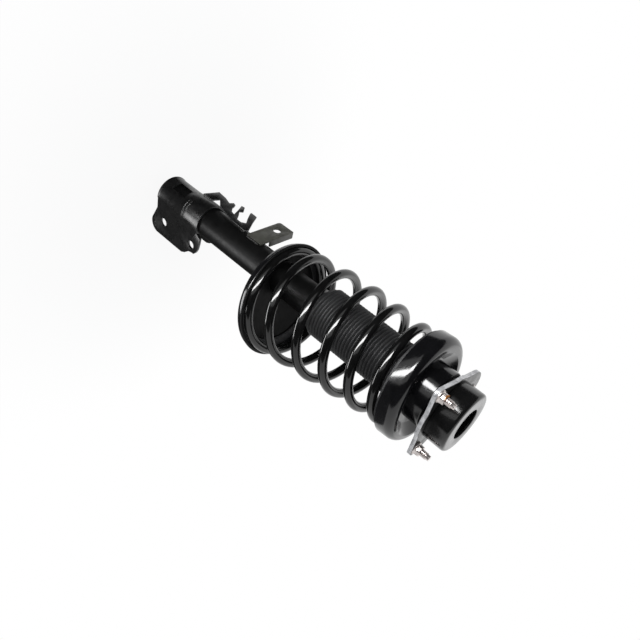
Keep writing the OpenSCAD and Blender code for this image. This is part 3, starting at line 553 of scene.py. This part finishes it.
def addBoot():
    b = boot
    root = b["crest"] - b["depth"]
    pitch = (b["ribsTop"] - b["ribsLow"]) / b["ribs"]
    profile = [(b["cuff"], b["low"]), (root, b["low"]), (root, b["ribsLow"])]
    for i in range(b["ribs"]):
        for along, out in b["ribShape"]:
            profile.append((root + b["depth"] * out, b["ribsLow"] + pitch * (i + along)))
    profile += [(root, b["ribsTop"]), (b["plain"], b["ribsTop"] + 0.002),
                (b["plain"], b["top"] - 0.003), (b["flange"], b["top"] - 0.002),
                (b["flange"], b["top"])]
    piece = spun("dustBoot", profile, steps=96, smoothAngle=60)
    thick = piece.modifiers.new("wall", "SOLIDIFY")
    thick.thickness = b["wall"]
    thick.offset = -1
    wear(piece, paint["bootRubber"])
    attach(piece, "spring_seat")
    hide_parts("dust_boot")
    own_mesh(piece)
    print("boot made:", len(piece.data.polygons), "faces")


# ---- bump stop ----

bumpStop = {"top": -0.0200, "plugLow": -0.0420, "plug": 0.0203, "low": -0.0985, "hole": 0.0113,
            "waist": 0.0185, "crests": (0.0235, 0.0225, 0.0235, 0.0225), "edge": 0.0006}


def addBumpStop():
    b = bumpStop
    step = (b["plugLow"] - b["low"]) / len(b["crests"])
    profile = [(b["hole"], b["low"]), (b["waist"] - b["edge"], b["low"]),
               (b["waist"], b["low"] + b["edge"])]
    for i, crest in enumerate(b["crests"]):
        for k in range(1, 14):
            part = k / 14
            profile.append((b["waist"] + (crest - b["waist"]) * math.sin(math.pi * part) ** 2,
                            b["low"] + step * (i + 0.15 + 0.7 * part)))
    profile += [(b["waist"], b["plugLow"]), (b["plug"], b["plugLow"]),
                (b["plug"], b["top"] - b["edge"]), (b["plug"] - b["edge"], b["top"]),
                (b["hole"], b["top"]), (b["hole"], b["low"])]
    piece = spun("bumpStop", profile, steps=72)
    wear(piece, paint["stopFoam"])
    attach(piece, "top_mount")
    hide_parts("bump_stop")
    print("bump stop made:", len(piece.data.polygons), "faces")


# ---- pressed steel, machined steel and rubber, edges rounded ----

rounded = {
    # node: (piece, edge radius, segments)
    "mount_plate": ("mountPlate", 0.0006, 2),
    "mount_cap": ("mountCap", 0.0007, 3),
    "mount_base": ("mountBase", 0.0005, 2),
    "stud_nuts": ("studNuts", 0.0003, 2),
    "upper_spring_seat": ("upperSpringSeat", 0.0008, 3),
    "lower_spring_seat": ("lowerSpringSeat", 0.0006, 2),
    "tube_end_cap": ("tubeEndCap", 0.0006, 2),
    "clevis_bracket": ("clevisBracket", 0.0007, 2),
    "clevis_strap": ("clevisStrap", 0.0005, 2),
    "brake_hose_bracket": ("hoseBracket", 0.0007, 2),
    "wire_bracket": ("wireBracket", 0.0005, 2),
    "rod_nut": ("rodNut", 0.0004, 2),
    "rod_washers": ("rodWashers", 0.0004, 2),
    "mount_rubber": ("mountRubber", 0.0005, 2),
    "upper_isolator": ("upperIsolator", 0.0008, 3),
    "lower_isolator": ("lowerIsolator", 0.0008, 3),
    "bearing_seal": ("bearingSeal", 0.0002, 2),
    "rod_seal": ("rodSeal", 0.0004, 2),
}
edgeLitNodes = ("clevis_bracket", "clevis_strap", "wire_bracket")    # rounded edges painted lighter as a painted highlight
# face choices for the second materials, including the plate skirt's painted highlight band and the
# nut's painted glint
secondFinishAndGlint = {
    "rimTilt": 0.45, "panTilt": 0.5, "nutPlace": (-0.049, -0.0445), "nutReach": 0.012,
    "nutSide": -0.0015, "nutFrom": 0.0065, "nutTop": 0.3, "nutFlat": -0.8,
}


# upright faces of the mount plate: the skirt that takes the lighter grey and painted highlight band
def isRim(face):
    return abs(face.normal.z) < secondFinishAndGlint["rimTilt"]


def isPanInside(face):
    return face.normal.z > secondFinishAndGlint["panTilt"]


def isOrangeGlint(face):
    # painted glint: the top and one side of the nearest nut's upper end are coloured orange as a
    # reflection
    f = secondFinishAndGlint
    away = face.center.to_2d() - Vector(f["nutPlace"])
    return (away.length < f["nutReach"] and away.x < f["nutSide"] and face.center.z > f["nutFrom"]
            and (face.normal.z > f["nutTop"] or face.normal.x < f["nutFlat"]))


# second materials on chosen faces: the plate skirt's painted highlight band, the nut's painted
# orange glint and the duller pan inside
partlyFinishedAndSheen = {
    "mount_plate": ("plateRimSheen", isRim), "stud_nuts": ("zincOrangeGlint", isOrangeGlint),
    "lower_spring_seat": ("panInside", isPanInside),
}


def addRounded():
    for nodeName, (pieceName, width, segments) in rounded.items():
        # on these brackets the bevelled edge faces take the painted highlight as a second material
        edgeLit = nodeName in edgeLitNodes
        piece = softened(nodeName, pieceName, width, segments, 1 if edgeLit else 0)
        wear(piece, paint[finishes[nodeName]])
        if edgeLit:
            piece.data.materials.append(paint["edgeHighlight"])
        if nodeName in partlyFinishedAndSheen:
            finishName, chosen = partlyFinishedAndSheen[nodeName]
            piece.data.materials.append(paint[finishName])
            for face in piece.data.polygons:
                if chosen(face):
                    face.material_index = 1
    print("pieces rounded:", len(rounded))


# ---- mount studs ----

stud = {
    "places": ((-0.049, -0.0445), (0.049, -0.0445), (0.004, 0.0575)), "head": 0.0060,
    "headLow": -0.0055, "headEdge": 0.0005, "plateLow": -0.0025, "held": 0.0046,
    "threadLow": 0.0095, "threadTop": 0.0175,
    "crest": 0.0050, "root": 0.0044, "pitch": 0.0015, "point": 0.0038, "pointLow": 0.0190,
    "top": 0.0225, "round": 0.0006, "steps": 36,
}


def threadShell(bm, low, high, root, crest, pitch, steps):
    # one winding's outline carried up a helix, then cut level at both ends
    turns = math.ceil((high - low) / pitch) + 3
    outline = ((root, 0.0), (root, 0.12), (crest, 0.44), (crest, 0.60), (root, 1.0))
    line = [bm.verts.new((r, 0, low + pitch * (part - 1.73))) for r, part in outline]
    edges = [bm.edges.new(pair) for pair in zip(line, line[1:])]
    bmesh.ops.spin(bm, geom=line + edges, cent=(0, 0, 0), axis=(0, 0, 1),
                   dvec=(0, 0, pitch / steps), angle=math.tau * turns, steps=steps * turns,
                   use_merge=False)
    bmesh.ops.remove_doubles(bm, verts=bm.verts, dist=2e-6)
    for height, way in ((low, -1), (high, 1)):
        bmesh.ops.bisect_plane(bm, geom=bm.verts[:] + bm.edges[:] + bm.faces[:],
                               plane_co=(0, 0, height), plane_no=(0, 0, way), clear_outer=True)
    bmesh.ops.holes_fill(bm, edges=[e for e in bm.edges if e.is_boundary], sides=0)


def addStuds():
    d = stud
    whole = bmesh.new()
    for x, y in d["places"]:
        for kind in ("shank", "thread", "point"):
            bm = bmesh.new()
            if kind == "thread":
                threadShell(bm, d["threadLow"], d["threadTop"], d["root"], d["crest"], d["pitch"],
                            d["steps"])
            elif kind == "shank":
                turnedShell(bm, [(0, d["headLow"]), (d["head"] - d["headEdge"], d["headLow"]),
                                 (d["head"], d["headLow"] + d["headEdge"]),
                                 (d["head"], d["plateLow"]),
                                 (d["held"], d["plateLow"]), (d["held"], d["threadLow"]),
                                 (0, d["threadLow"])], d["steps"])
            else:
                turnedShell(bm, [(0, d["threadTop"]), (d["crest"], d["threadTop"]),
                                 (d["point"], d["pointLow"]), (d["point"], d["top"] - d["round"]),
                                 (d["point"] - d["round"] * 0.3, d["top"] - d["round"] * 0.3),
                                 (d["point"] - d["round"], d["top"]), (0, d["top"])], d["steps"])
            bmesh.ops.recalc_face_normals(bm, faces=bm.faces)
            bmesh.ops.translate(bm, verts=bm.verts, vec=(x, y, 0))
            part = bpy.data.meshes.new("studPart")
            bm.to_mesh(part)
            bm.free()
            whole.from_mesh(part)
            bpy.data.meshes.remove(part)
    piece = newPiece("mountStuds", whole, 40)
    wear(piece, paint["zincYellow"])
    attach(piece, "top_mount")
    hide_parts("mount_studs")
    print("studs made:", len(piece.data.polygons), "faces")


# ---- welds and stamped marks ----

welds = {
    "ripple": 0.16, "rippleStep": 0.0016,
    "panRing": {"radius": 0.0264, "bead": 0.0017, "collar": 0.0285, "near": 2e-4, "steps": 240},
    "hoseFoot": {"bead": 0.0015, "ways": (184.0, 157.0), "radius": 0.0263, "from": -0.397,
                 "to": -0.371},
    "wireFoot": {"bead": 0.0011, "y": (0.0014, 0.0086), "z": (-0.4166, -0.4094), "radius": 0.0259},
    "earDots": {"radius": 0.0013, "rise": 0.0005, "y": -0.0274,
                "places": ((0.0478, -0.5635), (0.0387, -0.5446), (0.0650, -0.5620))},
}


def bead(name, points, radius, cyclic=False):
    # a swept weld, its radius rippling along the way
    length = [0.0]
    for a, b in zip(points, points[1:]):
        length.append(length[-1] + (Vector(b) - Vector(a)).length)
    radii = [1 + welds["ripple"] * math.sin(math.tau * along / welds["rippleStep"] / 2)
             for along in length]
    piece = swept(name, points, radius, radii=radii, resolution=3, cyclic=cyclic)
    wear(piece, paint["weldDark"])
    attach(piece, "strut")
    return piece


def addWelds():
    ring = welds["panRing"]
    seat = nodes["lower_spring_seat"].data.vertices
    low = min(v.co.z for v in seat
              if abs(math.hypot(v.co.x, v.co.y) - ring["collar"]) < ring["near"])
    count = ring["steps"]
    around = [(ring["radius"] * math.cos(math.tau * i / count),
               ring["radius"] * math.sin(math.tau * i / count), low) for i in range(count)]
    bead("panWeld", around, ring["bead"], cyclic=True)

    foot = welds["hoseFoot"]
    for number, way in enumerate(foot["ways"]):
        x, y = (foot["radius"] * math.cos(math.radians(way)),
                foot["radius"] * math.sin(math.radians(way)))
        steps = 60
        line = [(x, y, foot["from"] + (foot["to"] - foot["from"]) * i / steps)
                for i in range(steps + 1)]
        bead("hoseWeld" + str(number + 1), line, foot["bead"])

    foot = welds["wireFoot"]
    (y0, y1), (z0, z1) = foot["y"], foot["z"]
    corners = ((y0, z0), (y1, z0), (y1, z1), (y0, z1))
    loop = []
    for (ya, za), (yb, zb) in zip(corners, corners[1:] + corners[:1]):
        for i in range(16):
            y, z = ya + (yb - ya) * i / 16, za + (zb - za) * i / 16
            loop.append((-math.sqrt(foot["radius"] ** 2 - y * y), y, z))
    bead("wireWeld", loop, foot["bead"], cyclic=True)

    dots = welds["earDots"]
    bm = bmesh.new()
    for x, z in dots["places"]:
        made = bmesh.ops.create_uvsphere(bm, u_segments=20, v_segments=12, radius=dots["radius"])
        bmesh.ops.scale(bm, verts=made["verts"], vec=(1, dots["rise"] / dots["radius"], 1))
        bmesh.ops.translate(bm, verts=made["verts"], vec=(x, dots["y"], z))
    piece = newPiece("earDots", bm, 60)
    wear(piece, paint["pressedBlack"])
    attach(piece, "strut")
    print("welds made, pan weld at", round(low, 4))


# ---- the scene ----

addCamera()
addLamps()
for side in darkSides:
    addDarkSide(side, studio["darkMiddle"])
addWorld()
addFloor()
addSpring()
addBoot()
addBumpStop()
addRounded()
addStuds()
addWelds()
bpy.context.scene.view_settings.view_transform = "Standard"
